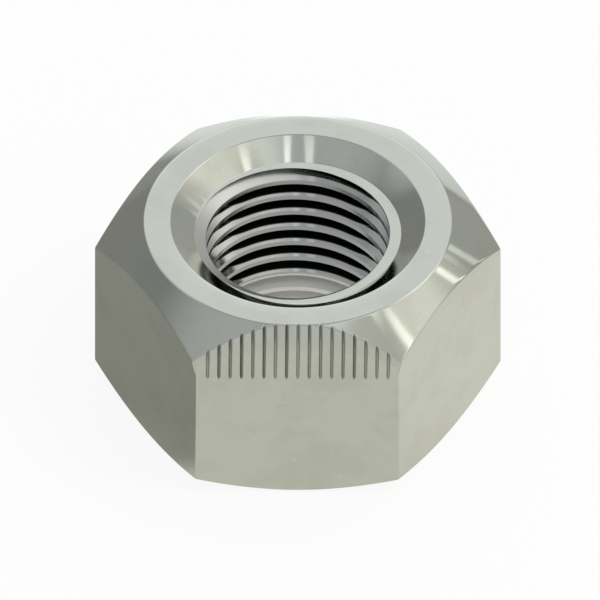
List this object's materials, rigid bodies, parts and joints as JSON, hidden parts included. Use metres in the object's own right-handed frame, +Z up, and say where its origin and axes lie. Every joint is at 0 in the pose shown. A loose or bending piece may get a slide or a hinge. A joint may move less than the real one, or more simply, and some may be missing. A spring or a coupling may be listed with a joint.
{
  "type": "all-metal hexagon lock nut",
  "caption": "Thick hexagon lock nut in one piece of steel, with a fine thread, a conical recess in its top and a serrated press mark on one flat.",
  "frame": {"origin": "centre of the bearing face, on the bore's axis", "axes": "+Z up the bore towards the recessed end, corners of the hexagon on the X axis, the serrated flat facing -Y"},
  "size_m": [0.0196, 0.017, 0.01],
  "materials": {
    "steel": "turned and pressed bright steel, satin, with a thin clear coat of zinc"
  },
  "bodies": {
    "root": {"nut_body": "steel"}
  },
  "joints": []
}
